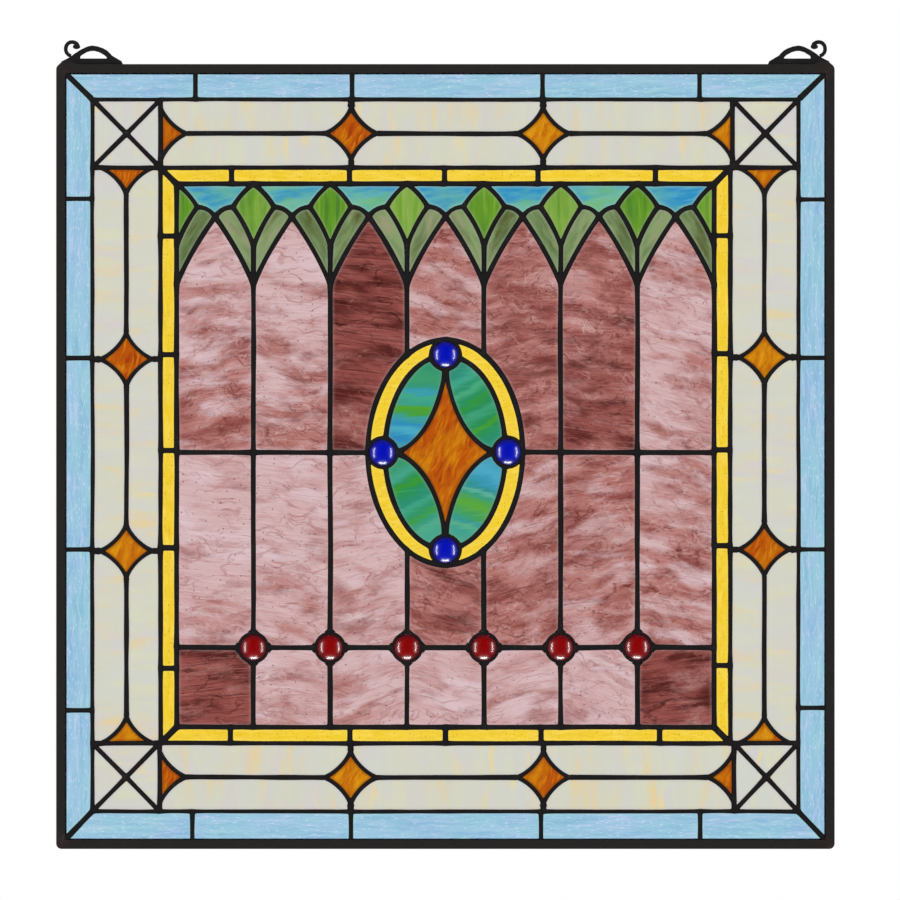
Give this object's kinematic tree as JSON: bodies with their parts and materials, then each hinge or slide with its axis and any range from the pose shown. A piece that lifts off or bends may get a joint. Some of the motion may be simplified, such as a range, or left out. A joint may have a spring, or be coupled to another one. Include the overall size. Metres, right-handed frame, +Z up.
{
  "type": "stained glass window panel",
  "caption": "Upright rectangular stained glass panel in a thin metal channel frame, with arches, buds, an oval medallion, domed glass jewels and two scrolled hangers.",
  "frame": {"origin": "middle of the top frame bar's upper face, halfway through the frame's depth, where the panel is hung", "axes": "+Z up, the panel's front faces -Y, +X to the right seen from the front"},
  "size_m": [0.61, 0.01, 0.6337],
  "materials": {
    "frame_patina": "metal channel with a dark brown-black patina, brownish solder at the corners",
    "hanger_patina": "flat metal scrollwork with the same dark patina",
    "patina_solder": "hand-run solder over copper foil, blackened with patina, softly shining",
    "blue_glass": "pale sky blue streaky glass",
    "cream_glass": "cream opalescent glass with faint warm cross bands",
    "yellow_glass": "clear warm yellow cathedral glass with fine seeds",
    "teal_glass": "turquoise streaky glass",
    "leaf_glass": "sage green wispy glass",
    "amber_glass": "orange amber glass, redder near its edges",
    "bud_glass": "leaf green streaky glass",
    "purple_glass": "dusty pink and mauve wispy glass, some panes dark",
    "petal_glass": "sea green glass with blue and green streaks",
    "cobalt_jewel": "cobalt blue pressed glass, domed",
    "ruby_jewel": "ruby red pressed glass, domed"
  },
  "bodies": {
    "root": {"blue_border": "blue_glass", "blue_jewel_bottom": "cobalt_jewel", "blue_jewel_left": "cobalt_jewel", "blue_jewel_right": "cobalt_jewel", "blue_jewel_top": "cobalt_jewel", "bud_1": "bud_glass", "bud_2": "bud_glass", "bud_3": "bud_glass", "bud_4": "bud_glass", "bud_5": "bud_glass", "bud_6": "bud_glass", "bud_7": "bud_glass", "bud_8": "bud_glass", "cream_band": "cream_glass", "diamond_bottom_1": "amber_glass", "diamond_bottom_2": "amber_glass", "diamond_left_1": "amber_glass", "diamond_left_2": "amber_glass", "diamond_right_1": "amber_glass", "diamond_right_2": "amber_glass", "diamond_top_1": "amber_glass", "diamond_top_2": "amber_glass", "frame_bottom": "frame_patina", "frame_left": "frame_patina", "frame_right": "frame_patina", "frame_top": "frame_patina", "gold_arc_lower_left": "yellow_glass", "gold_arc_lower_right": "yellow_glass", "gold_arc_upper_left": "yellow_glass", "gold_arc_upper_right": "yellow_glass", "half_diamond_bottom_1": "amber_glass", "half_diamond_bottom_2": "amber_glass", "half_diamond_left_1": "amber_glass", "half_diamond_left_2": "amber_glass", "half_diamond_right_1": "amber_glass", "half_diamond_right_2": "amber_glass", "half_diamond_top_1": "amber_glass", "half_diamond_top_2": "amber_glass", "hanger_left": "hanger_patina", "hanger_right": "hanger_patina", "leading": "patina_solder", "leaf_frieze": "leaf_glass", "medallion_star": "amber_glass", "petal_lower_left": "petal_glass", "petal_lower_right": "petal_glass", "petal_upper_left": "petal_glass", "petal_upper_right": "petal_glass", "purple_row_lower": "purple_glass", "purple_row_middle": "purple_glass", "purple_row_upper": "purple_glass", "red_jewel_1": "ruby_jewel", "red_jewel_2": "ruby_jewel", "red_jewel_3": "ruby_jewel", "red_jewel_4": "ruby_jewel", "red_jewel_5": "ruby_jewel", "red_jewel_6": "ruby_jewel", "teal_frieze": "teal_glass", "yellow_border": "yellow_glass"}
  },
  "joints": []
}
